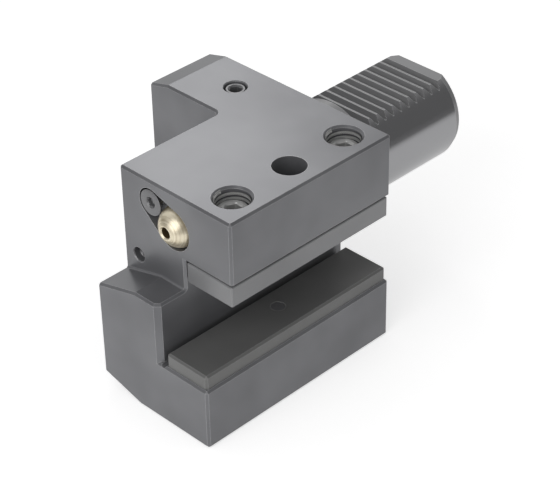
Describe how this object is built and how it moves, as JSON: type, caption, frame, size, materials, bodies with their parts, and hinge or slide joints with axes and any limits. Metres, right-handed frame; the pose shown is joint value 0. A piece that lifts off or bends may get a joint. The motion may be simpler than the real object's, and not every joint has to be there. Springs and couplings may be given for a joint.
{
  "type": "vdi tool holder",
  "caption": "Turret tool holder with a serrated cylindrical shank, an axial slot clamped from above for a square-shank tool, and a swivelling coolant nozzle.",
  "frame": {"origin": "centre of the shank in the flange face that seats on the turret", "axes": "+Y along the shank away from the body, +X out of the open side of the tool slot, +Z towards the serrated flat and the clamp screws"},
  "size_m": [0.085, 0.148, 0.0805],
  "materials": {
    "body_steel": "fine-ground case-hardened steel with a satin sheen",
    "plate_steel": "ground hardened steel",
    "bar_steel": "satin hardened steel",
    "screw_steel": "blackened high-tensile steel",
    "pin_steel": "ground dowel steel",
    "spring_steel": "bright spring wire",
    "nozzle_brass": "turned brass, slightly dulled",
    "seal_rubber": "matt black nitrile rubber"
  },
  "bodies": {
    "holder": {"holder_body": "body_steel", "support_plate": "plate_steel", "plate_screw": "screw_steel", "plate_pin_front": "pin_steel", "plate_pin_rear": "pin_steel", "guide_pin_front": "pin_steel", "guide_pin_rear": "pin_steel", "lift_spring": "spring_steel", "top_plug": "screw_steel", "side_plug_upper": "screw_steel", "side_plug_lower": "screw_steel", "front_plug": "screw_steel", "inlet_seal": "seal_rubber", "root_seal": "seal_rubber"},
    "clamp_bar": {"clamp_bar": "bar_steel", "bar_screw": "screw_steel"},
    "front_screw": {"clamp_screw_front": "screw_steel"},
    "rear_screw": {"clamp_screw_rear": "screw_steel"},
    "nozzle_ring": {"nozzle_seal": "seal_rubber"},
    "nozzle_ball": {"nozzle_ball": "nozzle_brass"},
    "nozzle_screw": {"nozzle_screw": "screw_steel"}
  },
  "joints": [
    {"name": "bar_slide", "type": "slide", "parent": "holder", "child": "clamp_bar", "axis": [0, 0, 1], "range_m": [-0.003, 0], "stiffness_N_per_m": 2000, "springref_m": 0.002, "deforming": ["lift_spring"]},
    {"name": "front_screw_turn", "type": "hinge", "parent": "clamp_bar", "child": "front_screw", "pos_m": [0.0318, -0.061, 0.018], "axis": [0, 0, 1], "range_deg": [-618, 0]},
    {"name": "rear_screw_turn", "type": "hinge", "parent": "clamp_bar", "child": "rear_screw", "pos_m": [0.0318, -0.011, 0.018], "axis": [0, 0, 1], "range_deg": [-618, 0]},
    {"name": "nozzle_spin", "type": "hinge", "parent": "holder", "child": "nozzle_ring", "pos_m": [0.0161, -0.069, 0.0188], "axis": [0, 1, 0], "continuous": true},
    {"name": "nozzle_tilt", "type": "hinge", "parent": "nozzle_ring", "child": "nozzle_ball", "pos_m": [0.0161, -0.069, 0.0188], "axis": [1, 0, 0], "range_deg": [-15, 15]},
    {"name": "nozzle_screw_turn", "type": "hinge", "parent": "holder", "child": "nozzle_screw", "pos_m": [0.0063, -0.0725, 0.0244], "axis": [0, -1, 0], "range_deg": [0, 90]}
  ],
  "couplings": [
    {"joint": "front_screw_turn", "follows": "bar_slide", "rad_per_m": 3590.4},
    {"joint": "rear_screw_turn", "follows": "bar_slide", "rad_per_m": 3590.4}
  ]
}
